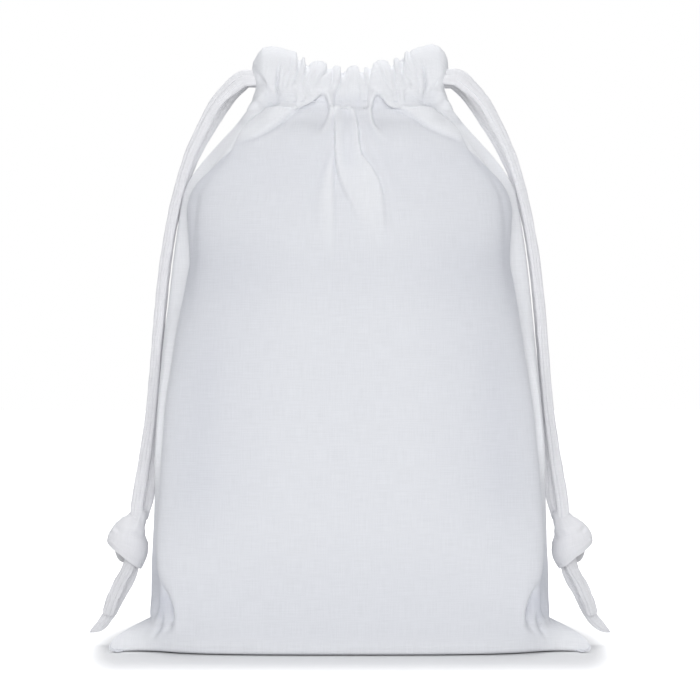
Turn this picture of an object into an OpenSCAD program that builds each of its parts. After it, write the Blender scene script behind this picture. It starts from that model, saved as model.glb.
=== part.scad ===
// Drawstring gift sack of plain cotton, filled and standing, with its mouth drawn almost closed.
// Millimetres. +Z is up, the front faces -Y, and the origin is on the table under the middle of the sack.
// Two panels are sewn along the sides and along the bottom, and each panel's top is turned in as a casing.
// One cord runs through both casings and leaves at the left slit, and a second one leaves at the right slit.

/* [Sack] */
// Width across the side seams where the filled sack is widest
base_width = 169; // [150:1:186]
// Depth of the flat that the sack stands on
base_depth = 68; // [60:1:76]
// How far that flat reaches in front of the middle plane
base_front = 38; // [34:1:40]
// Depth where the filled sack is fullest
belly_depth = 76; // [66:1:90]
// Height of the fullest depth above the table
belly_height = 90; // [70:1:120]
// Width at the shoulder, where the cloth turns in to the neck
shoulder_width = 143; // [130:1:146]
// Depth at the shoulder
shoulder_depth = 64; // [54:1:72]
// Height of the shoulder above the table
shoulder_height = 190; // [176:1:200]
// Thickness of the cotton
cloth = 0.6; // [0.4:0.1:0.8]
// How far each bottom corner sticks out past the side of the sack
corner_reach = 16.5; // [8:0.5:20]
// How far forward the tip of a bottom corner is pulled
corner_forward = 14; // [0:1:16]
// Height at which a bottom corner has run out into the side
corner_height = 12.5; // [10:0.5:20]

/* [Mouth] */
// Height of the casing's seam above the table
neck_height = 228; // [222:1:234]
// Width of the sack at the casing's seam
neck_width = 88; // [84:1:96]
// Height of the casing at the middle, from its seam to its fold
casing_height = 19.5; // [18.5:0.5:24]
// How much higher the casing's fold is near the slits than at the middle
mouth_rise = 8; // [0:0.5:12]
// Clear gap between the two turned hems, across the mouth
mouth_gap = 12; // [8:0.5:18]
// Width of the casing between its open ends
casing_width = 84; // [80:1:96]
// Number of pleats that the cord draws up across one casing
pleats = 9; // [5:2:11]
// How far a pleat stands out of the casing
pleat_depth = 1.6; // [0.4:0.1:2]
// Height that each slit is open below the casing's seam
slit_drop = 7; // [4:0.5:10]

/* [Seams] */
// Width of a sewn seam allowance inside the sack
allowance = 5; // [3:0.5:6]
// Thickness of the sewing thread
thread = 0.5; // [0.3:0.1:0.6]
// Length of one stitch
stitch = 2.6; // [1.8:0.1:3]
// Distance from one stitch to the next
stitch_pitch = 4.2; // [3.8:0.1:6]

/* [Drawstrings] */
// Diameter of the cord
cord = 3.6; // [3:0.1:4]
// Clear space kept between a cord and what it passes
cord_room = 0.4; // [0.3:0.05:0.6]
// Height of the cords where they leave the casing, above the casing's seam
exit_rise = 14; // [12:0.5:15]
// How far a cord can be drawn out of the casing
draw = 25; // [10:1:28]
// Width of the knot that ties a cord's two ends
knot_width = 16.5; // [13:0.5:19]
// Height of that knot
knot_height = 24; // [19:0.5:26]
// Depth of that knot from front to back
knot_depth = 13; // [11:0.5:15]

/* [Hidden] */

cotton = [0.93, 0.94, 0.97];
hem_cotton = [0.90, 0.91, 0.94];
cord_cotton = [0.95, 0.95, 0.96];
thread_white = [0.98, 0.98, 0.98];

front = -1;
back = 1;
left = -1;
right = 1;
seam_gap = 0.1;          // air between the two panels along their seams
fit_gap = 0.15;          // air between layers that lie on each other
base_bend = 2 / 3.3;     // 1 is an ellipse and less is squarer, for the sack's level sections at the base
neck_bend = 2 / 2.5;     // the same at the neck
front_edge_radius = 1.5; // rounding of the edge round the base
back_edge_radius = 5;
columns = 24;            // steps from a side seam to the middle of a panel
edge_columns = 5;        // of these, the steps across the flat edge of the front
edge_low = 14;           // heights where that flat edge starts and where it starts to run out
edge_high = 200;
edge_rise = 22;          // heights over which it grows and over which it runs out
edge_fade = 24;
bend_low = 60;           // height where the level sections start to change to the neck's, and the run of it
bend_run = 130;
seam_forward = 12;       // how far forward the side seam lies at the floor, and the height of that run
seam_run = 70;
fold_run = 70;           // length of the soft folds below the casing's seam
corner_fade = 34;        // degrees from the side seam over which a bottom corner is drawn out
corner_rows = 6;         // steps up the bottom corners
body_rows = 17;          // steps from there to the casing's seam
casing_rows = 8;         // steps up the casing
cord_sides = 8;
hem_face = mouth_gap / 2;                       // the mouth's side of a turned hem
hem_back = hem_face + cloth;                    // the cord's side of a turned hem
casing_face = hem_back + fit_gap;               // a panel's inner face where it lies on the hem
inner_cord_y = hem_back + cord_room + cord / 2; // the cord next to the hem, which is the left one
outer_cord_y = inner_cord_y + cord + cord_room; // the cord next to the panel, which is the right one
channel_room = outer_cord_y + cord / 2 + 2 * cord_room - casing_face; // how far the panel stands off the hem
exit_z = neck_height + exit_rise;
exit_x = casing_width / 2 + 2.4;                // where a cord turns down and swings
hem_half = casing_width / 2 - cord - 4;         // half the length of a turned hem
loop_x = hem_half + cord / 2 + 1;               // where a cord goes round from casing to casing
run_end = exit_x - cord / 2 - 0.3 - draw - 4;   // where a lead lies against the end of its run

// ---- numbers ----
function held(t) = min(1, max(0, t));
function ramp(t) = let (h = held(t)) h * h * (3 - 2 * h);
function mix(a, b, t) = a + (b - a) * t;
function unit(v) = v / max(norm(v), 1e-9);
function all_of(rows) = [for (r = rows) each r];

// ---- the filled sack's outline ----
function edge_inset(r, z) = z >= r ? 0 : r - sqrt(r ^ 2 - (r - z) ^ 2);
function neck_turn(z) = let (t = held((z - shoulder_height) / (neck_height - shoulder_height)))
    (1 - cos(90 * t)) ^ 0.8;
function side_turn(z) = sin(90 * held((shoulder_height - z) / (shoulder_height - 20))) ^ 0.8;
function half_width(z) = z <= shoulder_height
    ? mix(shoulder_width, base_width, side_turn(z)) / 2 - edge_inset(front_edge_radius, z)
    : mix(shoulder_width, neck_width, neck_turn(z)) / 2;
function base_half(side) = side == front ? base_front : base_depth - base_front;
function half_depth(side, z) = z <= belly_height
    ? mix(base_half(side), belly_depth / 2, sin(90 * z / belly_height))
        - edge_inset(side == front ? front_edge_radius : back_edge_radius, z)
    : z <= shoulder_height
    ? mix(shoulder_depth, belly_depth, cos(90 * (z - belly_height) / (shoulder_height - belly_height))) / 2
    : mix(shoulder_depth / 2, casing_face + cloth, neck_turn(z));
function bend(z) = 2 / mix(2 / base_bend, 2 / neck_bend, ramp((z - bend_low) / bend_run));
// The side seam lies forward at the bottom corners and in the middle of the side higher up.
function seam_y(z) = -seam_forward * (1 - ramp(z / seam_run));
// The two panels part above the slit's lower end.
function slit_share(z) = ramp((z - neck_height + slit_drop) / slit_drop);
function corner_share(z) = 1 - held(z / corner_height) ^ 2.4;
function pinch(f) = held(1 - f / corner_fade) ^ 1.7;
function fold_share(z) = sin(180 * held((z - neck_height + fold_run) / fold_run));
function pleat_wave(f) = (1 - cos(180 * pleats * cos(f) ^ neck_bend)) / 2;

// The front is full like a pillow, with a flat edge of cloth down each side of it. Height of a level,
// width of the edge there, and how far its outer and its inner side stand in front of the side seam.
flat_edge = [
    [14, 6, 3, 14], [22, 5.4, 3, 16], [30, 4, 4, 18], [45, 3.2, 8, 21], [60, 3.4, 15, 22], [84, 4.2, 22, 23.5],
    [104, 4.4, 20.5, 22], [122, 5.4, 14, 16], [142, 6.2, 5, 7.5], [155, 7, 3.5, 6], [165, 7.4, 3, 5.5],
    [180, 4.6, 3, 5.5], [188, 3.4, 3, 5.5], [197, 4.8, 3, 6], [206, 7.4, 3.4, 6.5], [214, 8.6, 3.6, 7],
    [222, 6, 4, 8]
];
function edge_value(z, k) = lookup(z, [for (level = flat_edge) [level[0], level[k]]]);
function edge_share(z) = ramp((z - edge_low) / edge_rise) * (1 - ramp((z - edge_high) / edge_fade));
function full_front(f, z, inset) = let (
    wide = edge_value(z, 1), far = edge_value(z, 2), near = edge_value(z, 3),
    outer = half_width(z), seam = seam_y(z), i = round(f * columns / 90),
    edge = [
        [outer - 0.5 - inset, seam - seam_gap / 2 - cloth + inset],
        [outer - inset, seam - far / 2],
        [outer - wide / 4 - inset, seam - far + inset],
        [outer - wide * 0.7 - inset, seam - mix(far, near, 0.6) + inset],
        [outer - wide + 0.4 - inset, seam - near + inset]
    ],
    g = 90 * (i - edge_columns) / (columns - edge_columns),
    root = seam - near + inset
) i < edge_columns ? edge[i] : [
    (outer - wide - inset) * cos(g) ^ bend(z),
    root - (half_depth(front, z) - inset + root) * sin(g) ^ bend(z)
];

// A point of a panel below the casing's seam. inset is 0 on the outer face and cloth on the inner face,
// and f runs from 0 at the side seam to 90 in the middle of the panel.
function body_point(side, hand, f, z, inset) = let (
    corner = corner_share(z) * pinch(f),
    seam = seam_y(z) + side * slit_share(z) * casing_face - corner_forward * corner,
    start = seam + side * (seam_gap / 2 * (1 - slit_share(z)) + cloth - inset),
    full = side * (half_depth(side, z) - inset) - start,
    plain = [
        (half_width(z) - inset) * cos(f) ^ bend(z) + corner_reach * corner,
        start + full * sin(f) ^ bend(z) * (1 - 0.72 * corner)
    ],
    share = side == front ? edge_share(z) : 0,
    p = share > 0 ? mix(plain, full_front(f, z, inset), share) : plain,
    folds = side * pleat_depth * 1.4 * fold_share(z) * pleat_wave(f) * ramp(f / 40)
) [hand * p[0], p[1] + folds, z];

// ---- the casing ----
function fold_height(x) = casing_height + mouth_rise * ramp((abs(x) - 8) / 24) - 6 * ramp((abs(x) - 34) / 9);
function roundness(v) = (1 - abs(2 * v - 1) ^ 3) ^ (1 / 3);
function casing_point(side, hand, f, v, inset) = let (
    x = (casing_width / 2 + (neck_width - casing_width) / 2 * (1 - ramp(v / 0.3)) - inset) * cos(f) ^ neck_bend,
    opened = mix(sin(f) ^ neck_bend, 1, ramp(v / 0.3)),
    bulge = (channel_room + pleat_depth * pleat_wave(f)) * roundness(v) * opened,
    top = fold_height(x) - inset * ramp(v * 2 - 1)
) [hand * x, side * (casing_face + cloth - inset + bulge), neck_height + top * v];

// ---- sheets of cloth ----
// The columns of a panel from its left seam to its right one, as [hand, f].
across = concat(
    [for (i = [0 : columns]) [left, 90 * i / columns]],
    [for (i = [columns - 1 : -1 : 0]) [right, 90 * i / columns]]
);
function row_z(j) = j < corner_rows
    ? corner_height * j / corner_rows
    : let (t = (j - corner_rows) / body_rows) mix(corner_height, neck_height, mix(t, sin(90 * t), 0.8));
function row_v(j) = (1 - cos(180 * j / casing_rows)) / 2;
function panel_face(side, inset, lowest) = concat(
    [for (j = [0 : corner_rows + body_rows]) [for (c = across)
        let (p = body_point(side, c[0], c[1], row_z(j), inset)) [p[0], p[1], max(p[2], lowest)]]],
    [for (j = [1 : casing_rows]) [for (c = across) casing_point(side, c[0], c[1], row_v(j), inset)]]
);
function quad(a, b, c, d) = [[a, b, c], [a, c, d]];
function turned(faces, flip) = flip ? [for (t = faces) [for (k = [len(t) - 1 : -1 : 0]) t[k]]] : faces;

// The faces of a closed sheet between two grids of rows x cols points, the second after the first.
function grid_faces(rows, cols) = let (n = rows * cols) [
    for (j = [0 : rows - 2], i = [0 : cols - 2]) let (a = j * cols + i, b = a + 1, c = b + cols, d = a + cols)
        each concat(quad(a, d, c, b), quad(n + a, n + b, n + c, n + d))
];
function top_faces(rows, cols) = let (n = rows * cols) [
    for (i = [0 : cols - 2]) let (a = (rows - 1) * cols + i) each quad(a, n + a, n + a + 1, a + 1)
];
function bottom_faces(rows, cols) = let (n = rows * cols) [
    for (i = [0 : cols - 2]) each quad(i, i + 1, n + i + 1, n + i)
];
function end_faces(rows, cols) = let (n = rows * cols) [
    for (j = [0 : rows - 2]) let (a = j * cols, d = a + cols, b = a + cols - 1, c = b + cols)
        each concat(quad(a, n + a, n + d, d), quad(b, c, n + c, n + b))
];

module sheet(outer, inner, flip) {
    rows = len(outer);
    cols = len(outer[0]);
    faces = concat(grid_faces(rows, cols), top_faces(rows, cols), bottom_faces(rows, cols),
        end_faces(rows, cols));
    polyhedron(concat(all_of(outer), all_of(inner)), turned(faces, flip), convexity = 12);
}

module front_panel() {
    color(cotton) sheet(panel_face(front, 0, 0), panel_face(front, cloth, 0), false);
}

// The cloth that the sack stands on belongs to the back panel, and reaches to the seam at the front.
function floor_edge(inset, level) = [for (i = [1 : len(across) - 2]) let (
    c = across[i],
    ahead = body_point(front, c[0], c[1], 0, cloth),
    behind = body_point(back, c[0], c[1], 0, inset)
) [ahead[0], ahead[1] + min(fit_gap, (behind[1] - ahead[1]) / 2), level]];

module back_panel() {
    outer = panel_face(back, 0, 0);
    inner = panel_face(back, cloth, cloth);
    rows = len(outer);
    cols = len(outer[0]);
    wall = rows * cols;
    under = 2 * wall;              // the floor's front edge, outer face
    over = under + cols - 2;       // the floor's front edge, inner face
    function u(i) = i == 0 ? 0 : i == cols - 1 ? cols - 1 : under + i - 1;
    function o(i) = i == 0 ? wall : i == cols - 1 ? wall + cols - 1 : over + i - 1;
    ends = [0, cols - 2];
    floor_faces = [for (i = [0 : cols - 2]) let (n = wall) each
        i == 0 ? [[u(0), u(1), 1], [o(0), n + 1, o(1)]]
        : i == cols - 2 ? [[u(i), u(i + 1), i], [o(i), n + i, o(i + 1)]]
        : concat(quad(u(i), u(i + 1), i + 1, i), quad(o(i), n + i, n + i + 1, o(i + 1)))];
    edge_faces = [for (i = [0 : cols - 2]) each quad(u(i), o(i), o(i + 1), u(i + 1))];
    faces = concat(grid_faces(rows, cols), top_faces(rows, cols), end_faces(rows, cols));
    points = concat(all_of(outer), all_of(inner), floor_edge(0, 0), floor_edge(cloth, cloth));
    color(cotton)
        polyhedron(points, concat(turned(faces, true), turned(floor_faces, false), edge_faces), convexity = 12);
}

// A turned hem: flat, from below the casing's seam to the fold.
hem_columns = 20;
function hem_face_grid(y) = [for (j = [0 : 1]) [for (i = [-hem_columns : hem_columns])
    let (x = hem_half * i / hem_columns)
    [x, y, j == 0 ? neck_height - 4 : neck_height + fold_height(x)]]];

module casing_hem(side) {
    color(hem_cotton)
        sheet(hem_face_grid(side * hem_back), hem_face_grid(side * hem_face), side == back);
}

module front_casing_hem() {
    casing_hem(front);
}

module back_casing_hem() {
    casing_hem(back);
}

// ---- seam allowances and their thread, inside the sack ----
seam_rows = 24;
seam_low = cloth + 1.2;
seam_top = neck_height - slit_drop - 2;
function seam_row_z(j) = mix(seam_low, seam_top, j / seam_rows);
function seam_edge(z) = half_width(z) - cloth - 0.8;
function seam_grid(hand, side) = [for (j = [0 : seam_rows]) let (z = seam_row_z(j), x = seam_edge(z))
    [for (step = [0, allowance]) [hand * (x - step), seam_y(z) + side * cloth, z]]];

module side_seam(hand) {
    color(hem_cotton) sheet(seam_grid(hand, front), seam_grid(hand, back), hand == left);
}

module left_side_seam() {
    side_seam(left);
}

module right_side_seam() {
    side_seam(right);
}

module side_stitching(hand) {
    color(thread_white)
        for (z = [seam_low + stitch_pitch : stitch_pitch : seam_top - stitch_pitch])
            let (slope = atan2(half_width(z + 1) - half_width(z - 1), 2))
                translate([hand * (seam_edge(z) - 2 * cloth), seam_y(z) - cloth - 0.35 - thread / 2, z])
                    rotate([atan2(seam_y(z + 1) - seam_y(z - 1), -2), hand * slope, 0])
                        cube([thread, thread, stitch], center = true);
}

module left_side_stitching() {
    side_stitching(left);
}

module right_side_stitching() {
    side_stitching(right);
}

// The bottom allowance stands behind the front panel, along the front edge of the base.
bottom_half = base_width / 2 - 1.42 * corner_reach;
function bottom_front(x, z) = let (a = half_width(0) - cloth)
    body_point(front, right, acos((abs(x) / a) ^ (1 / base_bend)), z, cloth)[1];
function bottom_y(x) = bottom_front(x, 0) + 2 * cord_room;
bottom_columns = 16;
function bottom_grid(shift) = [for (j = [0 : 1]) [for (i = [-bottom_columns : bottom_columns])
    let (x = bottom_half * i / bottom_columns)
    [x, bottom_y(x) + shift, cloth + fit_gap + j * allowance]]];

module bottom_seam() {
    color(hem_cotton) sheet(bottom_grid(0), bottom_grid(2 * cloth), false);
}

module bottom_stitching() {
    color(thread_white)
        for (x = [stitch_pitch - bottom_half : stitch_pitch : bottom_half - stitch_pitch])
            translate([x, bottom_y(x) - 0.35 - thread / 2, 4 * cloth])
                rotate([0, 0, atan2(bottom_y(x + 1) - bottom_y(x - 1), 2)])
                    cube([stitch, thread, thread], center = true);
}

// ---- the casing's stitches and the tacks at the slits ----
module casing_stitching(side) {
    low = neck_height - 1.4;
    color(thread_white)
        for (k = [0.5 : casing_width / stitch_pitch / 2 - 1], hand = [left, right])
            let (x = k * stitch_pitch, f = acos((x / half_width(low)) ^ (1 / neck_bend)),
                y = body_point(side, right, f, low - 1, 0)[1] + side * (0.25 + thread / 2))
                translate([hand * x, y, low])
                    rotate([side * 42, 0, 0])
                        cube([stitch, thread, thread], center = true);
}

module front_casing_stitching() {
    casing_stitching(front);
}

module back_casing_stitching() {
    casing_stitching(back);
}

module slit_tack(hand) {
    low = neck_height - slit_drop - 1.5;
    lean = atan2(half_width(low - 1) - half_width(low + 1), 2);
    color(thread_white)
        translate([hand * half_width(low), 0, low])
            rotate([0, -hand * lean, 0])
                translate([hand * (0.3 + thread / 2), 0, 0])
                    cube([thread, 5, 1.6], center = true);
}

module left_slit_tack() {
    slit_tack(left);
}

module right_slit_tack() {
    slit_tack(right);
}

// ---- cords ----
function tangent(p, i) = unit(p[min(i + 1, len(p) - 1)] - p[max(i - 1, 0)]);
// Rings of points round a route. up is a direction that the route never follows.
function rings(p, r, up) = [for (i = [0 : len(p) - 1]) let (
    t = tangent(p, i), u = unit(cross(t, up)), w = cross(u, t))
    [for (k = [0 : cord_sides - 1]) let (a = 360 * k / cord_sides) p[i] + r[i] * (cos(a) * u + sin(a) * w)]];

module tube(route, radii, up) {
    g = rings(route, radii, up);
    n = len(route);
    s = cord_sides;
    walls = [for (i = [0 : n - 2], k = [0 : s - 1]) let (a = i * s + k, b = i * s + (k + 1) % s)
        each quad(a, b, b + s, a + s)];
    caps = [[for (k = [s - 1 : -1 : 0]) k], [for (k = [0 : s - 1]) (n - 1) * s + k]];
    polyhedron(all_of(g), concat(walls, caps), convexity = 6);
}

// A smooth line through chosen points, with n steps between one point and the next.
function knee(p, i, t) = let (
    a = p[max(i - 1, 0)], b = p[i], c = p[i + 1], d = p[min(i + 2, len(p) - 1)])
    0.5 * (2 * b + (c - a) * t + (2 * a - 5 * b + 4 * c - d) * t ^ 2 + (3 * b - a - 3 * c + d) * t ^ 3);
function curve(p, n) = [for (i = [0 : len(p) - 2], k = [0 : n - 1]) knee(p, i, k / n), p[len(p) - 1]];
function fill(n, v) = [for (i = [1 : n]) v];
function cord_y(hand) = hand == left ? inner_cord_y : outer_cord_y;

// A cord's fixed run: in through one casing, round the far end of the hems and back through the other.
// The right cord dips as it goes round, because the left cord leaves between its two halves.
function run_half(hand) = let (y = cord_y(hand), dip = hand == left ? 0 : -cord - 1) [
    [-run_end, y, 0],
    [loop_x - 12, y, 0],
    [loop_x - 7, y, dip / 2],
    [loop_x - 2.5, y, dip],
    [loop_x - 0.6, y - 0.8, dip],
    [loop_x, y - 2.6, dip]
];
function run_route(hand) = let (h = run_half(hand)) concat(
    [for (p = h) [-hand * p[0], -p[1], exit_z + p[2]]],
    [for (i = [len(h) - 1 : -1 : 0]) [-hand * h[i][0], h[i][1], exit_z + h[i][2]]]
);

module cord_run(hand) {
    route = run_route(hand);
    color(cord_cotton) tube(route, fill(len(route), cord / 2), [0, 0, 1]);
}

module left_cord_run() {
    cord_run(left);
}

module right_cord_run() {
    cord_run(right);
}

// The straight end of a cord inside the casing, which slides out when the cord is drawn.
module cord_lead(hand, side) {
    start = run_end + 0.3;
    length = exit_x - cord / 2 - 0.3 - start;
    color(cord_cotton)
        translate([hand * (start + length / 2), side * cord_y(hand), exit_z])
            rotate([0, 90, 0])
                cylinder(h = length, d = cord, center = true, $fn = 24);
}

module left_cord_front_lead() {
    cord_lead(left, front);
}

module left_cord_back_lead() {
    cord_lead(left, back);
}

module right_cord_front_lead() {
    cord_lead(right, front);
}

module right_cord_back_lead() {
    cord_lead(right, back);
}

// The hanging strands, from the casing to the knot: [reach out from the middle, share of the way from
// the hanging pair to the casing's cord, height].
front_strand_points = [
    [46.5, 1, 241.2], [49, 0.95, 239.4], [51.5, 0.88, 237.4], [54.7, 0.78, 234.4], [57.9, 0.67, 230.3],
    [62.5, 0.5, 222], [66.7, 0.36, 213.5], [70, 0.26, 205.4], [74.8, 0.1, 188.5], [78.8, 0.02, 167.3],
    [81.3, 0, 146.2], [83, 0, 125], [84.8, 0, 103.6], [87.6, 0, 82], [90.8, 0, 62]
];
back_strand_points = [
    [46.3, 1, 240.8], [48.3, 0.96, 239.1], [50.6, 0.9, 236.6], [53.2, 0.81, 233.2], [56, 0.7, 229.2],
    [58.6, 0.6, 225], [61.5, 0.5, 220.2], [64.6, 0.4, 214.6], [67.4, 0.3, 208.8], [70.1, 0.2, 202],
    [73.2, 0.1, 192.4], [76.5, 0.04, 179.3], [79, 0, 163.2], [80.8, 0, 146], [82.5, 0, 125], [83.9, 0, 104],
    [85.2, 0, 82], [86.1, 0, 68], [87, 0, 62]
];
hang_y = 2.4;
knot_x = 95;
knot_z = 44.5;
knot_top = knot_z + knot_height / 2;
knot_low = knot_z - knot_height / 2;

module strand(hand, side) {
    points = side == front ? front_strand_points : back_strand_points;
    head = [for (step = [[-cord / 2, 0], [-cord / 3, 0], [0, 0]])
        [hand * (exit_x + step[0]), side * cord_y(hand), exit_z]];
    hang = [for (p = points) [hand * p[0], side * mix(hang_y, cord_y(hand), p[1]), p[2]]];
    foot = [hand * (side == front ? knot_x - 4.3 : knot_x - 6.6), side * hang_y, knot_top + 0.1];
    route = concat(head, hang, [foot]);
    radii = concat([cord * 0.12, cord * 0.37], fill(len(route) - 2, cord / 2));
    color(cord_cotton) tube(route, radii, [0, 1, 0]);
}

module left_cord_front_strand() {
    strand(left, front);
}

module left_cord_back_strand() {
    strand(left, back);
}

module right_cord_front_strand() {
    strand(right, front);
}

module right_cord_back_strand() {
    strand(right, back);
}

// The overhand knot that ties both strands: a leaning lump with the groove of its wrap round it.
knot_rows = 12;
knot_sides = 16;
function knot_lean(v) = knot_x + mix(-3, -6.2, v) + 4.4 * sin(180 * v);
function knot_bulk(v) = mix(0.42, 1, sin(180 * (0.06 + 0.88 * v)) ^ 0.8);
function wrap_groove(v, a) = 0.16 * exp(-(((v - 0.36 - 0.13 * cos(a)) / 0.09) ^ 2))
    + 0.12 * exp(-(((v - 0.8 + 0.1 * cos(a)) / 0.08) ^ 2));
function knot_ring(hand, v) = [for (k = [0 : knot_sides - 1]) let (
    a = 360 * k / knot_sides,
    r = knot_bulk(v) * (1 - wrap_groove(v, a)))
    [hand * (knot_lean(v) + knot_width / 2 * 0.95 * r * cos(a)), knot_depth / 2 * r * sin(a),
        mix(knot_low, knot_top, v)]];

module knot(hand) {
    g = [for (j = [0 : knot_rows]) knot_ring(hand, j / knot_rows)];
    s = knot_sides;
    walls = [for (i = [0 : knot_rows - 1], k = [0 : s - 1]) let (a = i * s + k, b = i * s + (k + 1) % s)
        each quad(a, a + s, b + s, b)];
    caps = [[for (k = [0 : s - 1]) k], [for (k = [s - 1 : -1 : 0]) knot_rows * s + k]];
    color(cord_cotton) polyhedron(all_of(g), turned(concat(walls, caps), hand == left), convexity = 6);
}

module left_knot() {
    knot(left);
}

module right_knot() {
    knot(right);
}

// The cord's two cut ends below the knot: [reach out from the middle, place from front to back, height].
front_tail_points = [[94, -3, 30.6], [97, -4, 27.6], [100.8, -4.6, 22.5], [102.6, -4.4, 16.6], [104.4, -4, 11]];
back_tail_points = [[92.4, 3, 30.6], [94.6, 3.4, 26.5], [97.8, 3.4, 17.5], [101.5, 3.2, 10.5], [109.5, 3, 5.6]];

module tail(hand, side) {
    points = side == front ? front_tail_points : back_tail_points;
    first = [hand * points[0][0], points[0][1], knot_low - 0.1];
    route = concat([first], [for (p = points) [hand * p[0], p[1], p[2]]]);
    radii = concat(fill(len(route) - 1, cord / 2), [side == front ? cord * 0.48 : cord * 0.3]);
    color(cord_cotton) tube(route, radii, [0, 1, 0]);
}

module left_cord_front_tail() {
    tail(left, front);
}

module left_cord_back_tail() {
    tail(left, back);
}

module right_cord_front_tail() {
    tail(right, front);
}

module right_cord_back_tail() {
    tail(right, back);
}

front_panel();
back_panel();
front_casing_hem();
back_casing_hem();
left_side_seam();
right_side_seam();
bottom_seam();
left_side_stitching();
right_side_stitching();
bottom_stitching();
front_casing_stitching();
back_casing_stitching();
left_slit_tack();
right_slit_tack();
left_cord_run();
left_cord_front_lead();
left_cord_back_lead();
left_cord_front_strand();
left_cord_back_strand();
left_knot();
left_cord_front_tail();
left_cord_back_tail();
right_cord_run();
right_cord_front_lead();
right_cord_back_lead();
right_cord_front_strand();
right_cord_back_strand();
right_knot();
right_cord_front_tail();
right_cord_back_tail();
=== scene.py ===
import bpy
import math
import numpy as np
from mathutils import Matrix, Vector, noise


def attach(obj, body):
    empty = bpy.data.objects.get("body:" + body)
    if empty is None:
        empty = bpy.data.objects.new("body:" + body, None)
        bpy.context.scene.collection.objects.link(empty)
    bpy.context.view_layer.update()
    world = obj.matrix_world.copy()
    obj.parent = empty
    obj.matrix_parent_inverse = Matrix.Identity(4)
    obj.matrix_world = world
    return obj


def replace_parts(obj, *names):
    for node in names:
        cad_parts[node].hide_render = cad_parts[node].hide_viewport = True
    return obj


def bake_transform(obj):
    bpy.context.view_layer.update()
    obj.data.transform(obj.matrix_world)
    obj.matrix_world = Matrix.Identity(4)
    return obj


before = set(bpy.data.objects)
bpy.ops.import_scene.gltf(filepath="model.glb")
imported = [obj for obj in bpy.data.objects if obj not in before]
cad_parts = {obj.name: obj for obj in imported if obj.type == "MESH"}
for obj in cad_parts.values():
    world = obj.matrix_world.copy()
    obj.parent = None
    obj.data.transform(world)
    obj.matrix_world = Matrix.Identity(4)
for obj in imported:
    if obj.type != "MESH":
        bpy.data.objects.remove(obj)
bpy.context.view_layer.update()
mm = 0.001
left, right, front, back = -1, 1, -1, 1


def say(stage):
    print("sack:", stage)


def deselectAll():
    bpy.ops.object.select_all(action="DESELECT")


def pick(piece):
    deselectAll()
    piece.select_set(True)
    bpy.context.view_layer.objects.active = piece


def editWhole(operator, **options):
    bpy.ops.object.mode_set(mode="EDIT")
    bpy.ops.mesh.select_all(action="SELECT")
    operator(**options)
    bpy.ops.object.mode_set(mode="OBJECT")


# Stores painted light and painted shade on a mesh's points.
def setPaintedShading(mesh, paintedShading):
    mesh.attributes.new("paintedShading", "FLOAT", "POINT").data.foreach_set("value", paintedShading.reshape(-1))


def mixed(a, b, t):
    return a + (b - a) * t


def ramp(t):
    t = np.clip(t, 0.0, 1.0)
    return t * t * (3 - 2 * t)


def feed(tree, socket, value):
    if isinstance(value, bpy.types.NodeSocket):
        tree.links.new(value, socket)
    else:
        socket.default_value = value


# Values and links go into the node's first sockets in order, and into others by name.
def addNode(tree, kind, *firstInputs, operation=None, **namedInputs):
    node = tree.nodes.new("ShaderNode" + kind)
    if operation:
        node.operation = operation
    for socket, value in zip(node.inputs, firstInputs):
        feed(tree, socket, value)
    for name, value in namedInputs.items():
        feed(tree, node.inputs[name], value)
    return node


def startMaterial(name):
    material = bpy.data.materials.new(name)
    material.use_nodes = True
    return material, material.node_tree, material.node_tree.nodes["Principled BSDF"]


# Camera, lights and table, in millimetres. The glow that clears the table starts past the base's ends, so the
# table round the base keeps a painted shadow as well as the cast one.
studio = {
    "eyeHeight": 126.3,
    "eyeDistance": 1036,
    "lens": 124.2,
    "ambient": 0.4,
    "tableSide": 8000,
    "tableWhite": 0.93,
    "tableDrop": 0.4,
    "glowPastBase": 7,
    "glowSteepness": 5,
    "glowFrom": 50,
    "glowFull": 150,
}
lamps = {
    "frontLamp": {"place": (0, -1250, 330), "size": (1100, 600), "power": 6.05, "aim": (0, 0, 120)},
    "topLamp": {"place": (0, 150, 1300), "size": (600, 600), "power": 6.6, "aim": (0, 0, 0)},
}


def setCamera():
    bpy.ops.object.camera_add(
        location=(0, -studio["eyeDistance"] * mm, studio["eyeHeight"] * mm),
        rotation=(math.radians(90), 0, 0),
    )
    camera = bpy.context.object
    camera.name = "frontCamera"
    camera.data.lens = studio["lens"]
    camera.data.sensor_width = 36
    camera.data.clip_start = 0.05
    bpy.context.scene.camera = camera


def addLamp(name, place, size, power, aim):
    bpy.ops.object.light_add(type="AREA", location=[v * mm for v in place])
    lamp = bpy.context.object
    lamp.name = name
    lamp.data.shape = "RECTANGLE"
    lamp.data.size, lamp.data.size_y = size[0] * mm, size[1] * mm
    lamp.data.energy = power
    toward = Vector([(a - p) * mm for a, p in zip(aim, place)])
    lamp.rotation_euler = toward.to_track_quat("-Z", "Y").to_euler()


def seenDirectly(tree):
    rays = addNode(tree, "LightPath").outputs
    total = rays["Is Camera Ray"]
    for ray in ("Is Glossy Ray", "Is Transmission Ray"):
        total = addNode(tree, "Math", total, rays[ray], operation="MAXIMUM").outputs[0]
    return total


def setWorld():
    world = bpy.data.worlds.new("studioWorld")
    bpy.context.scene.world = world
    world.use_nodes = True
    tree = world.node_tree
    tree.nodes.clear()
    glow = addNode(tree, "Background", (0.93, 0.95, 1, 1), studio["ambient"])
    plain = addNode(tree, "Background", (1, 1, 1, 1), 1)
    mix = addNode(tree, "MixShader", seenDirectly(tree), glow.outputs[0], plain.outputs[0])
    addNode(tree, "OutputWorld", Surface=mix.outputs[0])


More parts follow.
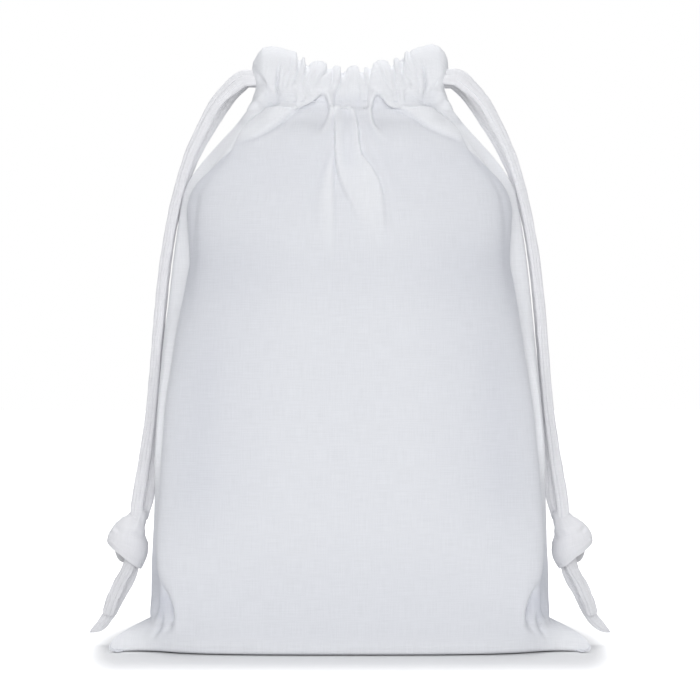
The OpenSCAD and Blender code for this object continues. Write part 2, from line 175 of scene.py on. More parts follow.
def layTable():
    drop = studio["tableDrop"] * mm
    bpy.ops.mesh.primitive_plane_add(size=studio["tableSide"] * mm, location=(0, 0, -drop))
    table = bpy.context.object
    table.name = "table"
    coat, tree, shader = startMaterial("tableWhite")
    white = studio["tableWhite"]
    shader.inputs["Base Color"].default_value = (white, white, white, 1)
    shader.inputs["Roughness"].default_value = 0.9
    shader.inputs["Specular IOR Level"].default_value = 0.1
    # white where it is seen, more so away from the sack; the weaker glow near the sack paints a soft shadow
    # round the base on top of the cast shadow
    place = addNode(tree, "TexCoord").outputs["Object"]
    baseEnd = (form["baseWidth"] / 2 + studio["glowPastBase"]) * mm
    for operation, value in (
        ("ABSOLUTE", (0, 0, 0)), ("SUBTRACT", (baseEnd, 0, 0)),
        ("MAXIMUM", (0, 0, 0)), ("MULTIPLY", (studio["glowSteepness"], 1, 1)),
    ):
        place = addNode(tree, "VectorMath", place, value, operation=operation).outputs[0]
    away = addNode(tree, "VectorMath", place, operation="LENGTH").outputs["Value"]
    reach = {"From Min": studio["glowFrom"] * mm, "From Max": studio["glowFull"] * mm}
    clear = addNode(tree, "MapRange", Value=away, **reach)
    clear.interpolation_type = "SMOOTHSTEP"
    strength = addNode(tree, "Math", seenDirectly(tree), clear.outputs["Result"], operation="MULTIPLY")
    glow = addNode(tree, "Emission", Strength=strength.outputs[0])
    both = addNode(tree, "AddShader", shader.outputs[0], glow.outputs[0])
    tree.links.new(both.outputs[0], tree.nodes["Material Output"].inputs["Surface"])
    table.data.materials.append(coat)


# Plain weave: warp and weft threads, thicker slubs among them, and a faint unevenness.
def wovenCotton(name, colour, threadPitch, relief, alongCloth=True, shadeBlue=0):
    material, tree, shader = startMaterial(name)
    kind, label = ("UVMap", "UV") if alongCloth else ("TexCoord", "Object")
    metres = addNode(tree, kind).outputs[label]
    place = addNode(tree, "Mapping", Vector=metres, Scale=(1000, 1000, 1000)).outputs["Vector"]
    threads = []
    for direction in ("X", "Y"):
        wave = addNode(tree, "TexWave", Vector=place, Scale=0.314 / threadPitch, Distortion=0.9)
        wave.inputs["Detail Scale"].default_value = 0.7
        wave.bands_direction = direction
        threads.append(wave.outputs["Fac"])
    weave = addNode(tree, "Math", *threads, operation="MULTIPLY").outputs[0]
    slubs = []
    for scale in ((0.11, 2.4, 1), (2.4, 0.11, 1)):
        stretched = addNode(tree, "Mapping", Vector=place, Scale=scale).outputs["Vector"]
        slubs.append(addNode(tree, "TexNoise", Vector=stretched, Scale=1, Detail=2).outputs["Fac"])
    slub = addNode(tree, "Math", *slubs, operation="ADD").outputs[0]
    spread = addNode(tree, "MapRange", Value=slub, **{"From Min": 0.66, "From Max": 1.34})
    shade = addNode(tree, "ValToRGB", spread.outputs["Result"])
    for element, position, share in zip(shade.color_ramp.elements, (0, 1), (0.955, 1.03)):
        element.position = position
        element.color = [min(1, c * share) for c in colour] + [1]
    # painted light and painted shade, read from a value on the mesh: painted light is lighter and warmer,
    # painted shade darker and bluer; a piece without the value stays even
    shadingAttribute = addNode(tree, "Attribute")
    shadingAttribute.attribute_name = "paintedShading"
    shadeTint = (1 + 0.4 * shadeBlue, 1, 1 - 1.6 * shadeBlue)
    paintedShading = addNode(tree, "VectorMath", shadingAttribute.outputs["Fac"], shadeTint, (1, 1, 1), operation="MULTIPLY_ADD")
    toned = addNode(tree, "VectorMath", shade.outputs["Color"], paintedShading.outputs[0], operation="MULTIPLY")
    crumple = addNode(tree, "TexNoise", Vector=place, Scale=0.16, Detail=3, Roughness=0.5).outputs["Fac"]
    normal = None
    for height, strength, distance in ((crumple, 0.1, 0.0012), (slub, 0.2, 0.0001), (weave, relief, 0.0001)):
        bump = addNode(tree, "Bump", Height=height, Strength=strength, Distance=distance)
        if normal:
            tree.links.new(normal, bump.inputs["Normal"])
        normal = bump.outputs["Normal"]
    for label, value in {
        "Base Color": toned.outputs[0], "Normal": normal, "Roughness": 0.92, "Specular IOR Level": 0.15,
        "Sheen Weight": 0.05, "Sheen Roughness": 0.5,
    }.items():
        feed(tree, shader.inputs[label], value)
    return material


cottonWhite = (0.861, 0.87, 0.897)
cordWhite = (0.92, 0.917, 0.932)
clothFinish = wovenCotton("wovenCotton", cottonWhite, 0.45, 0.55, shadeBlue=0.11)
hemFinish = wovenCotton("turnedCotton", [c * 0.98 for c in cottonWhite], 0.45, 0.55)
cordFinish = wovenCotton("drawstringCotton", cordWhite, 0.4, 0.6)
innerFinish = wovenCotton("seamCotton", cottonWhite, 0.45, 0.5, alongCloth=False)
threadFinish = wovenCotton("sewingThread", (0.87, 0.88, 0.91), 0.25, 0.5, alongCloth=False)


# Makes a sheet from rows of points in millimetres. Its UV map is the cloth's own lengths, in metres.
def layCloth(name, points, finish, flip, paintedShading=None):
    rows, columns = points.shape[:2]
    deselectAll()
    bpy.ops.mesh.primitive_grid_add(
        x_subdivisions=columns - 1, y_subdivisions=rows - 1, size=2, location=(0, 0, 0)
    )
    piece = bpy.context.object
    piece.name = name
    piece.data.name = name
    mesh = piece.data
    mesh.vertices.foreach_set("co", (points * mm).reshape(-1))
    up = np.concatenate([[0], np.cumsum(np.linalg.norm(np.diff(points, axis=0), axis=2).mean(axis=1))])
    across = np.cumsum(np.linalg.norm(np.diff(points, axis=1, prepend=points[:, :1]), axis=2), axis=1)
    across -= across[:, columns // 2][:, None]
    unrolled = np.stack(np.broadcast_arrays(across, up[:, None]), axis=2) * mm
    corners = np.empty(len(mesh.loops), dtype=np.int32)
    mesh.loops.foreach_get("vertex_index", corners)
    mesh.uv_layers[0].data.foreach_set("uv", unrolled.reshape(-1, 2)[corners].reshape(-1))
    if paintedShading is not None:
        setPaintedShading(mesh, paintedShading)
    mesh.update()
    if flip:
        editWhole(bpy.ops.mesh.flip_normals)
    mesh.materials.append(finish)
    return piece


def thicken(piece, thickness):
    pick(piece)
    bpy.ops.object.modifier_add(type="SOLIDIFY")
    solid = piece.modifiers[-1]
    solid.thickness = thickness * mm
    solid.offset = -1
    bpy.ops.object.modifier_apply(modifier=solid.name)
    for v in piece.data.vertices:
        v.co.z = max(v.co.z, 0)
    bpy.ops.object.shade_smooth_by_angle(angle=math.radians(60))


def gridNormals(points, side):
    normal = np.cross(np.gradient(points, axis=1), np.gradient(points, axis=0)) * -side
    return normal / np.maximum(np.linalg.norm(normal, axis=2, keepdims=True), 1e-6)


# A smooth curve through the points, in even steps.
def smoothLine(points, step):
    p = np.array(points, dtype=float)
    p = np.concatenate([[2 * p[0] - p[1]], p, [2 * p[-1] - p[-2]]])
    fine = []
    for a, b, c, d in zip(p[:-3], p[1:-2], p[2:-1], p[3:]):
        for t in np.linspace(0, 1, 24, endpoint=False):
            square, cube = 2 * a - 5 * b + 4 * c - d, 3 * b - a - 3 * c + d
            fine.append(0.5 * (2 * b + (c - a) * t + square * t**2 + cube * t**3))
    fine = np.array(fine + [p[-2]])
    along = np.concatenate([[0], np.cumsum(np.linalg.norm(np.diff(fine, axis=0), axis=1))])
    even = np.linspace(0, along[-1], max(3, round(along[-1] / step)))
    return np.stack([np.interp(even, along, fine[:, k]) for k in range(p.shape[1])], axis=1)


# The filled sack's form, in millimetres.
form = {
    "baseWidth": 169,
    "baseHalf": {front: 38, back: 30},
    "bellyDepth": 76,
    "bellyHeight": 90,
    "shoulderWidth": 143,
    "shoulderDepth": 64,
    "shoulderHeight": 190,
    "cornerReach": 16.5,
    "cornerHeight": 12.5,
    "cornerForward": 14,
    "edgeRadius": {front: 3, back: 5},
    "neckHeight": 228,
    "neckWidth": 88,
    "neckFace": 14,
    "slitFace": 7.4,
    "slitDrop": 7,
    "seamForward": 12,
    "edgeLow": 14,
    "edgeHigh": 200,
}


def edgeInset(radius, z):
    return radius - math.sqrt(max(radius * radius - (radius - z) ** 2, 0)) if z < radius else 0


def neckTurn(z):
    t = (z - form["shoulderHeight"]) / (form["neckHeight"] - form["shoulderHeight"])
    return (1 - math.cos(math.pi / 2 * min(max(t, 0), 1))) ** 0.8


def halfWidth(z):
    h, w = form["shoulderHeight"], form["shoulderWidth"]
    if z <= h:
        turn = math.sin(math.pi / 2 * min((h - z) / (h - 20), 1)) ** 0.8
        return mixed(w, form["baseWidth"], turn) / 2 - edgeInset(form["edgeRadius"][front], z)
    return mixed(w, form["neckWidth"], neckTurn(z)) / 2


def halfDepth(side, z):
    b, h = form["bellyHeight"], form["shoulderHeight"]
    if z <= b:
        full = mixed(form["baseHalf"][side], form["bellyDepth"] / 2, math.sin(math.pi / 2 * z / b))
        return full - edgeInset(form["edgeRadius"][side], z)
    if z <= h:
        return mixed(form["shoulderDepth"], form["bellyDepth"], math.cos(math.pi / 2 * (z - b) / (h - b))) / 2
    return mixed(form["shoulderDepth"] / 2, form["neckFace"], neckTurn(z))


# The front is full like a pillow, with a flat edge of cloth down each side of it. Height of a level,
# width of the edge there, and how far its outer and its inner side stand in front of the side seam.
flatEdge = smoothLine([
    (14, 6, 3, 14), (22, 5.4, 3, 16), (30, 4, 4, 18), (45, 3.2, 8, 21), (60, 3.4, 15, 22),
    (84, 4.2, 22, 23.5), (104, 4.4, 20.5, 22), (122, 5.4, 14, 16), (142, 6.2, 5, 7.5), (155, 7, 3.5, 6),
    (165, 7.4, 3, 5.5), (180, 4.6, 3, 5.5), (188, 3.4, 3, 5.5), (197, 4.8, 3, 6), (206, 7.4, 3.4, 6.5),
    (214, 8.6, 3.6, 7), (222, 6, 4, 8),
], 0.5)


def spacedEvenly(x, y, count):
    length = np.concatenate([[0], np.cumsum(np.hypot(np.diff(x), np.diff(y)))])
    even = np.linspace(0, length[-1], count + 1)
    return np.stack([np.interp(even, length, x), np.interp(even, length, y)], axis=1)


# One level of a panel, from one side seam round the face to the other, in even steps.
def bodyRow(side, z, count):
    n = mixed(3.3, 2.5, ramp((z - 60) / 130))
    angle = np.linspace(0, math.pi / 2, 200)
    scale = (np.cos(angle) ** n + np.sin(angle) ** n) ** (1 / n)
    across, deep = np.cos(angle) / scale, np.sin(angle) / scale
    turn = np.degrees(np.arcsin(np.clip(deep ** (n / 2), 0, 1)))
    corner = (1 - min(z / form["cornerHeight"], 1) ** 2.4) * np.clip(1 - turn / 34, 0, 1) ** 1.7
    seam = -form["seamForward"] * (1 - ramp(z / 70))
    slit = ramp((z - form["neckHeight"] + form["slitDrop"]) / form["slitDrop"])
    start = seam + side * (0.06 + slit * form["slitFace"]) - form["cornerForward"] * corner
    x = halfWidth(z) * across + form["cornerReach"] * corner
    depth = halfDepth(side, z)
    if side == back and z > 60:
        # the back has no shoulder line
        evened = np.mean([halfDepth(side, min(z + step, form["neckHeight"])) for step in range(-16, 17, 2)])
        depth = mixed(depth, evened, ramp((z - 60) / 60) * ramp((form["neckHeight"] - z) / 16))
    y = start + (side * depth - start) * deep * (1 - 0.72 * corner)
    y = y - side * 0.8 * edgeInset(form["edgeRadius"][side], z) * np.clip(deep / 0.12, 0, 1) * (1 - deep)
    length = np.concatenate([[0], np.cumsum(np.hypot(np.diff(x), np.diff(y)))])
    x = x - 0.7 * np.exp(-((length / 1.6) ** 2)) * ramp((z - 12) / 8) * (1 - slit)
    half = spacedEvenly(x, y, count)
    share = ramp((z - form["edgeLow"]) / 22) * (1 - ramp((z - form["edgeHigh"]) / 24))
    if side == front and share > 0:
        edgeWidth, far, near = [np.interp(z, flatEdge[:, 0], flatEdge[:, k]) for k in (1, 2, 3)]
        outer = halfWidth(z)
        edge = smoothLine([
            (outer - 0.5, start[0]), (outer, seam - 0.5 * far), (outer - 0.25 * edgeWidth, seam - far),
            (outer - 0.7 * edgeWidth, seam - mixed(far, near, 0.6)), (outer - edgeWidth + 0.4, seam - near),
        ], 0.3)
        fullX = (outer - edgeWidth) * across
        fullY = seam - near - (halfDepth(side, z) + seam - near) * deep
        laid = spacedEvenly(np.concatenate([edge[:, 0], fullX]), np.concatenate([edge[:, 1], fullY]), count)
        half = mixed(half, laid, share)
    half = np.concatenate([half, np.full((count + 1, 1), z)], axis=1)
    return np.concatenate([half, half[::-1][1:] * (-1, 1, 1)])[::-1]


# A fold follows points of (x, z, half width, height) over the face of a panel. A roll is round with a sharp
# edge on both sides, and a crease is sharp along its middle. A lap stands up on the left of its line and
# falls back behind it, a tuck does so along a smooth curve, and a soft fold fades out on both sides.
# True lays the fold on both halves of the panel.
def foldHeight(x, z, kind, path):
    path = smoothLine(path, 1.5) if kind == "tuck" else np.array(path, dtype=float)
    nearest = np.full(x.shape, 1e9)
    height = np.zeros(x.shape)
    for a, b in zip(path[:-1], path[1:]):
        run = b[:2] - a[:2]
        dx, dz = x - a[0], z - a[1]
        t = np.clip((dx * run[0] + dz * run[1]) / (run @ run), 0, 1)
        away = np.hypot(dx - t * run[0], dz - t * run[1])
        share = away / mixed(a[2], b[2], t)
        tall = mixed(a[3], b[3], t)
        if kind == "roll":
            rise = tall * np.sqrt(np.clip(1 - share**4, 0, 1))
        elif kind == "crease":
            rise = tall * np.clip(1 - share, 0, 1) ** 1.6
        elif kind in ("lap", "tuck"):
            onLeft = run[0] * dz - run[1] * dx > 0
            lip, dip, foot = (0.45, 0.3, 0.9) if kind == "lap" else (0.6, 0.4, 1.1)
            fade = np.exp(-share) if kind == "lap" else np.exp(-share * share)
            edge = 1 - np.exp(-((away / lip) ** 2))
            rise = tall * np.where(onLeft, edge * fade, -dip * np.exp(-((away / foot) ** 2)))
        else:
            rise = tall * np.exp(-share * share)
        order = away if kind == "tuck" else share
        height = np.where(order < nearest, rise, height)
        nearest = np.minimum(nearest, order)
    return height


def foldsOn(x, z, folds):
    total = np.zeros(x.shape)
    for kind, both, path in folds:
        total += foldHeight(x, z, kind, path)
        if both and kind in ("lap", "tuck"):
            total += foldHeight(x, z, kind, [(-p[0],) + tuple(p[1:]) for p in path[::-1]])
        elif both:
            total += foldHeight(-x, z, kind, path)
    return total


frontFolds = [
    # upper edge of the rolled band that runs from the neck to each shoulder
    ("lap", True, [
        (-27.5, 233, 5, 0.3), (-31.9, 230, 6, 1.2), (-35.4, 228.2, 6, 1.5), (-39.6, 225.9, 6, 1.6),
        (-43.3, 222.6, 5, 1.5), (-46.1, 218.9, 4, 1.2), (-48.6, 214.5, 3, 0.8), (-51, 210, 3, 0.3),
    ]),
    ("crease", True, [
        (-28.5, 233, 0.9, -0.2), (-31.9, 230, 1, -0.9), (-39.6, 225.9, 1, -1), (-46.1, 218.9, 1.1, -1),
        (-50.5, 211.5, 1.3, -0.7), (-56, 204.5, 1.5, -0.3),
    ]),
    # lower edge of the band, running on as the rim of the pocket beside the middle pleat
    ("tuck", False, [
        (-47, 213.4, 4, 0.2), (-42, 215, 6, 0.8), (-37.2, 217.1, 7, 1.4), (-32.5, 219.9, 7, 1.7),
        (-27.4, 223.6, 7, 1.8), (-22.7, 226.9, 7, 1.8), (-19.5, 229.7, 8, 2), (-15.2, 232, 9, 2.3),
        (-11.6, 233.9, 8, 2.2), (-9.9, 232.4, 4, 1.5), (-9.1, 229, 3, 1.1), (-9.4, 225, 3, 0.9),
        (-11.4, 221, 3, 0.5), (-13.8, 217.5, 3, 0.1),
    ]),
    ("tuck", False, [
        (16, 216, 3, 0.1), (12.4, 219, 3, 0.4), (10, 222.6, 3, 0.8), (9.5, 227, 3, 1.1), (10, 231.6, 4, 1.5),
        (11.4, 233.8, 8, 2.2), (13.3, 232.8, 9, 2.1), (16.4, 229.8, 8, 2), (21, 227.2, 7, 1.8),
        (27.1, 224, 7, 1.8), (33.7, 219.6, 7, 1.7), (40, 216.8, 7, 1.3), (44.5, 214.9, 6, 0.7),
        (47, 213.4, 4, 0.2),
    ]),
    # light lips round the pockets and round the bands' upper ends
    ("soft", False, [
        (-20, 231, 1, 0.5), (-16, 233.6, 1.1, 1.1), (-12.5, 235.8, 1.1, 1.4), (-9.2, 235.4, 1.2, 1.5),
        (-7.9, 231.5, 1.2, 1.3), (-7.9, 226.5, 1.2, 1.1), (-9.6, 221.5, 1.3, 0.6), (-12.5, 217, 1.8, 0.1),
    ]),
    ("soft", False, [
        (20.5, 229.3, 1, 0.5), (16.5, 232, 1.1, 1.1), (13.2, 235, 1.1, 1.4), (10.2, 235.8, 1.2, 1.5),
        (8.5, 232.5, 1.2, 1.3), (8.1, 226.5, 1.2, 1.2), (9.6, 220.5, 1.3, 0.8), (14, 216, 1.8, 0.2),
    ]),
    ("soft", True, [
        (-29, 233.2, 0.9, 0.2), (-27.4, 236, 1, 0.8), (-24.6, 237.6, 1, 1), (-22.2, 236, 1, 1),
        (-21.6, 232.5, 0.9, 0.7), (-20.4, 230.4, 0.9, 0.3),
    ]),
    ("soft", True, [
        (-25, 229.6, 2.6, 0.4), (-29.6, 227, 3, 0.9), (-35, 223.6, 3.2, 1), (-41, 219.6, 3, 0.8),
        (-46, 216, 2.2, 0.3),
    ]),
    # between the bands and the sides
    ("soft", False, [
        (-41.2, 244.5, 1.4, -0.9), (-39, 241.2, 1.5, -2), (-36.8, 238.6, 1.5, -2.2),
        (-34.6, 235.2, 1.3, -1.4), (-33.2, 232.4, 1.2, -0.3),
    ]),
    ("soft", False, [
        (38.6, 240.6, 1.2, -0.4), (36.8, 238.2, 1.4, -2), (34.6, 235.2, 1.3, -1.4), (33.2, 232.4, 1.2, -0.3),
    ]),
    ("soft", True, [(-38.2, 232.8, 1.1, 0.5), (-36, 231.2, 1.3, 0.8), (-33.4, 232.6, 1.2, 0.6)]),
    ("soft", True, [(-41.5, 233.5, 0.9, -0.4), (-39.4, 230.4, 1, -0.6), (-38.6, 228.4, 0.9, -0.2)]),
    # the pleat that runs down the middle: its round head, two ridges, and the two broad lobes they open into
    ("soft", False, [
        (-6.2, 226, 1.1, 0.7), (-5.2, 228.3, 1.2, 1.3), (-2.9, 229.5, 1.2, 1.5), (-0.3, 228.3, 1.2, 1.3),
        (0.8, 226, 1.1, 0.7),
    ]),
    ("soft", False, [(-7.3, 230.5, 0.9, 0.4), (-7.1, 227.5, 0.9, 0.8), (-6.9, 224.5, 0.9, 0.4)]),
    ("lap", False, [
        (-6.2, 227.5, 2.4, 0.6), (-6.6, 223, 2.4, 1.7), (-6.6, 216, 2.4, 1.9), (-6.4, 208.5, 3, 1.8),
        (-5.8, 201.5, 4, 1.5), (-3.4, 194.4, 4.5, 1.2), (-0.2, 188, 5, 0.9), (3.2, 181.4, 5, 0.5),
        (6.6, 175.6, 5, 0.1),
    ]),
    ("lap", False, [
        (14.6, 171, 6, 0.1), (14.7, 180.6, 6, 0.7), (14, 190, 5.5, 1.3), (12.4, 197, 5, 1.7),
        (8.6, 203.6, 3.6, 1.9), (5.2, 207.8, 2.6, 1.9), (4, 214, 2.2, 1.9), (3.6, 221, 2, 1.8),
        (2.6, 226.5, 1.8, 0.8),
    ]),
    ("tuck", False, [
        (-6.2, 164, 3.6, 0.1), (-6.2, 176, 3.6, 0.6), (-6.3, 188, 3.6, 1), (-6.6, 198, 3, 1.1),
        (-6.8, 205, 2, 0.3),
    ]),
    ("soft", False, [
        (-1.2, 226, 1.5, -0.6), (-1.1, 219, 1.7, -1.2), (-1, 211, 1.9, -1.1), (-0.6, 204.5, 2.4, -0.4),
    ]),
    ("soft", False, [
        (0.6, 204, 3.5, 0.2), (4.6, 196.4, 5, 0.8), (8, 187, 5, 0.9), (10.6, 178, 4.5, 0.4),
        (11, 170, 5, 0.1),
    ]),
    ("soft", False, [
        (-8, 208.5, 1.6, 0.2), (-9.4, 201, 2.4, 0.8), (-10.6, 191, 3, 1), (-10.2, 180, 3.4, 0.7),
        (-9.6, 169, 4, 0.1),
    ]),
    ("soft", False, [
        (-9.6, 216, 2, -0.5), (-10.8, 208, 2.4, -1.1), (-14, 199, 2.8, -1.1), (-16.6, 188, 3.2, -0.7),
        (-18, 177, 4, -0.1),
    ]),
    ("soft", False, [
        (7.2, 223.5, 2, -0.6), (8, 215, 2.4, -1.1), (12, 207, 2.8, -1.2), (16.6, 198, 3, -1.1),
        (18.6, 187, 3.4, -0.7), (19, 176, 4, -0.1),
    ]),
    # the face falls in beside the flat edge at the shoulders
    ("soft", True, [
        (-51, 209, 1.6, -0.2), (-59, 201.5, 1.8, -0.7), (-64.5, 192, 1.8, -0.9), (-66, 180, 1.8, -0.9),
        (-66, 165, 1.8, -0.7), (-68.5, 148, 2, -0.3),
    ]),
    # bottom corners: the side is drawn in above the corner, with a ridge and two creases beside it
    ("soft", True, [
        (-82.8, 75, 1, -0.3), (-82.6, 55, 1.3, -0.8), (-82.4, 40, 1.5, -1.3), (-81.9, 28, 1.7, -2.2),
        (-81.2, 20, 1.5, -2.6), (-82, 15.5, 1.2, -1.4), (-84, 12.5, 1, -0.2),
    ]),
    ("soft", True, [
        (-79.8, 27, 1.1, 0.2), (-79, 22, 1.1, 0.9), (-78.6, 18.2, 1.1, 1.2), (-79.4, 14.8, 1.2, 1),
        (-81.6, 10.5, 1.5, 0.5), (-84, 6.5, 1.8, 0.1),
    ]),
    ("soft", True, [
        (-79.4, 31, 1.6, -0.3), (-77.8, 27, 1.6, -1.2), (-76, 23, 1.6, -2.3), (-74.2, 18.2, 1.5, -3),
        (-74, 14.6, 1.4, -2.6), (-75, 11.2, 1.4, -1.4), (-77, 8.5, 1.4, -0.3),
    ]),
    ("tuck", True, [
        (-78.4, 28, 2, 0.2), (-76.2, 23.5, 3, 0.9), (-74.2, 18.4, 3, 1.5), (-73.8, 14.8, 3, 1.4),
        (-74.8, 11.4, 3, 0.8), (-76.8, 8.6, 2, 0.1),
    ]),
    ("soft", True, [
        (-77.6, 19.5, 1, 0.3), (-76.8, 16, 1.1, 0.8), (-77.2, 12, 1.1, 0.6), (-78.6, 8, 1.2, 0.1),
    ]),
    ("soft", True, [
        (-78, 17, 0.9, -0.5), (-78.4, 14, 0.9, -1.4), (-79.8, 10.5, 0.9, -1.5), (-81.8, 6.8, 0.9, -0.7),
        (-83, 4.6, 0.9, -0.1),
    ]),
    ("soft", True, [(-73.4, 30, 2.6, 0.3), (-71.6, 22, 2.6, 0.8), (-71, 15, 2.4, 0.8), (-72, 9, 2.4, 0.2)]),
    # seam along the bottom edge
    ("crease", False, [
        (-101, 2.2, 1.1, -0.2), (-86, 3, 1.2, -0.4), (-60, 2.4, 1.2, -0.5), (-20, 2.8, 1.2, -0.5),
        (25, 2.3, 1.2, -0.5), (62, 2.8, 1.2, -0.5), (86, 3, 1.2, -0.4), (101, 2.2, 1.1, -0.2),
    ]),
]
# Gathers of the casing, each a crease from the rim down, with None before the next one.
frontGathers = [
    (-29.4, 250, 1.2, -0.1), (-30, 246, 1.1, -1.1), (-30.6, 241, 1.1, -2.3), (-30.8, 237, 1.1, -2.3),
        (-30.3, 232.8, 1, -1.1),
    None, (-30.4, 246, 3, -0.4), (-31, 240, 3.4, -1), (-30.6, 234, 2.6, -0.5),
    None, (-27.3, 248, 1.1, -0.4), (-28.4, 242.5, 1.3, -0.9), (-28.9, 237.5, 1.1, -0.3),
    None, (-24.2, 251, 1.1, -0.3), (-24.9, 246, 1.3, -0.9), (-26.3, 240.5, 1.2, -0.8),
        (-27.2, 236.8, 1, -0.2),
    None, (-21.3, 253, 1.5, -1.7), (-21.4, 246, 1.5, -1.8), (-22.8, 241.5, 1.4, -1.4),
        (-24.8, 237.4, 1.2, -0.7),
    None, (-18, 251, 1.5, -1.8), (-17.7, 246, 1.5, -1.6), (-19.8, 241, 1.3, -1.2), (-20.4, 236.8, 1.1, -0.5),
    None, (-16.6, 246.5, 1.1, -0.3), (-17.4, 241, 1.2, -0.9), (-18.4, 235, 1.1, -0.5),
    None, (-13.2, 248, 1.1, -0.3), (-14, 243.5, 1.3, -0.6), (-16.4, 237.2, 1.2, -0.3),
    None, (-8.3, 249, 1.6, -1.6), (-9.6, 244, 1.5, -1.6), (-13.2, 240.4, 1.3, -1), (-15.9, 236.6, 1.2, -0.5),
    None, (-7.7, 247, 1.2, -0.8), (-7.3, 241, 1.3, -1.2), (-7.8, 237, 1.1, -0.6),
    None, (-2.4, 248, 1.6, -1.9), (-3.2, 241.5, 1.5, -1.7), (-5.8, 234.8, 1.3, -1.3),
        (-6.6, 230.5, 1.2, -0.6),
    None, (0.4, 245, 1.2, -0.2), (-0.6, 239, 1.3, -0.6), (-2.2, 233, 1.2, -0.3),
    None, (4.7, 249, 1.6, -1.8), (5.2, 243, 1.5, -1.6), (7.2, 237, 1.3, -1.1), (7.4, 230, 1.1, -0.7),
    None, (2.6, 243, 1.2, -0.2), (3.6, 236, 1.3, -0.7), (3.8, 229.5, 1.2, -0.5),
    None, (8.8, 249, 1.5, -1.3), (8.3, 243, 1.5, -1.4), (8, 237.8, 1.2, -0.6),
    None, (11.4, 248, 1.2, -0.4), (13.7, 241.5, 1.3, -1), (17.4, 236, 1.2, -0.6), (18.8, 233.4, 1, -0.2),
    None, (17.2, 250, 1.5, -1.8), (18.5, 243, 1.5, -1.6), (19.3, 237.5, 1.3, -1.2), (20.8, 232.5, 1.2, -0.6),
    None, (22, 252, 1.5, -1.7), (21.6, 244, 1.4, -1.4), (23, 239.5, 1.3, -1), (24.6, 236.8, 1.1, -0.4),
    None, (22.8, 248, 1.1, -0.4), (24.5, 242.5, 1.3, -0.9), (26.2, 237.8, 1.1, -0.5),
    None, (25.4, 251, 1.2, -0.5), (28, 244.5, 1.3, -1), (29, 239.5, 1.2, -0.9), (29.3, 234.5, 1, -0.3),
    None, (30.2, 250, 1.2, -0.1), (31, 246, 1.1, -1.1), (31.7, 241, 1.1, -2), (31.9, 237.5, 1.1, -2),
        (30.8, 232.8, 1, -1),
    None, (31, 246, 3, -0.4), (31.8, 240, 3.4, -1), (31.2, 234, 2.6, -0.5),
]
backGathers = [
    (-30, 251, 3, -0.8), (-30.5, 240, 3.2, -2.4), (-31.5, 232, 2.6, -2.6), (-35, 222, 3, -1.2),
        (-44, 208, 4, -0.4),
    None, (-22, 252, 1.8, -1.6), (-23, 242, 2, -1.4), (-25, 234, 2, -1.2), (-29, 222, 3, -0.6),
    None, (-16.5, 251, 2, -1.6), (-16.5, 240, 2.2, -1.8), (-18, 231, 2, -1.4), (-22, 216, 3, -0.6),
    None, (-10.5, 250, 2, -1.6), (-10, 240, 2, -1.6), (-11.5, 230, 1.8, -1.2), (-13, 214, 2.6, -0.7),
    None, (-4, 249, 2, -1.7), (-4.5, 239, 2.2, -1.9), (-4, 229, 2, -1.6), (-6.5, 208, 3.6, -0.9),
        (-7, 188, 5, -0.2),
    None, (1.5, 249, 1.6, -1.4), (2, 239, 1.8, -1.4), (1.5, 229, 1.8, -1), (2, 219, 2, -0.4),
    None, (7, 249, 2, -1.7), (6.5, 239, 2.2, -1.8), (7.5, 229, 2, -1.5), (10, 210, 3.4, -0.9),
        (12, 190, 5, -0.2),
    None, (13, 250, 2, -1.6), (12.5, 240, 2, -1.6), (14.5, 230, 2, -1.2), (17, 220, 2.6, -0.6),
    None, (19, 252, 2, -1.6), (19, 241, 2.2, -1.7), (21, 231, 2, -1.3), (25, 216, 3.2, -0.6),
    None, (25, 252, 1.8, -1.5), (25.5, 241, 2, -1.3), (27, 232, 2, -0.9), (31, 222, 2.6, -0.4),
    None, (32, 251, 3, -0.8), (32, 240, 3.2, -2.4), (33, 231, 2.6, -2.6), (37, 221, 3, -1.2),
        (46, 207, 4, -0.4),
]
backFolds = [
    ("roll", True, [
        (-27, 236, 3.4, 1.6), (-29, 230, 4.2, 2.6), (-36, 220, 4.6, 2.2), (-45, 209, 3.6, 0.9),
        (-50, 202, 2.4, 0.2),
    ]),
    ("soft", True, [
        (-33, 231, 1.8, -1.2), (-45, 217, 2.4, -1.5), (-56, 203, 2.8, -1.4), (-66, 180, 3.2, -1),
        (-75, 140, 3.6, -0.8), (-80, 70, 3.6, -0.9), (-79, 30, 3, -1.2),
    ]),
    ("soft", False, [
        (-8, 232, 2, 1.2), (-10, 222, 2.4, 1.5), (-14, 205, 3.6, 1.3), (-18, 185, 5.5, 0.7),
        (-20, 165, 7, 0.1),
    ]),
    ("soft", False, [
        (4.5, 232, 2, 1.4), (5.5, 220, 2.4, 1.6), (6, 203, 3.4, 1.4), (4, 185, 5, 0.8), (2, 165, 6, 0.1),
    ]),
    ("soft", False, [(16, 232, 2, 1.2), (18, 222, 2.6, 1.5), (24, 205, 4, 1), (30, 190, 6, 0.3)]),
    ("soft", True, [(-82, 34, 2.4, -1), (-78, 22, 2.6, -2), (-76, 12, 2.4, -1.2)]),
]


def gatherFolds(chain):
    folds, path = [], []
    for point in chain + [None]:
        if point:
            path.append(point)
        else:
            folds.append(("crease", False, path))
            path = []
    return folds


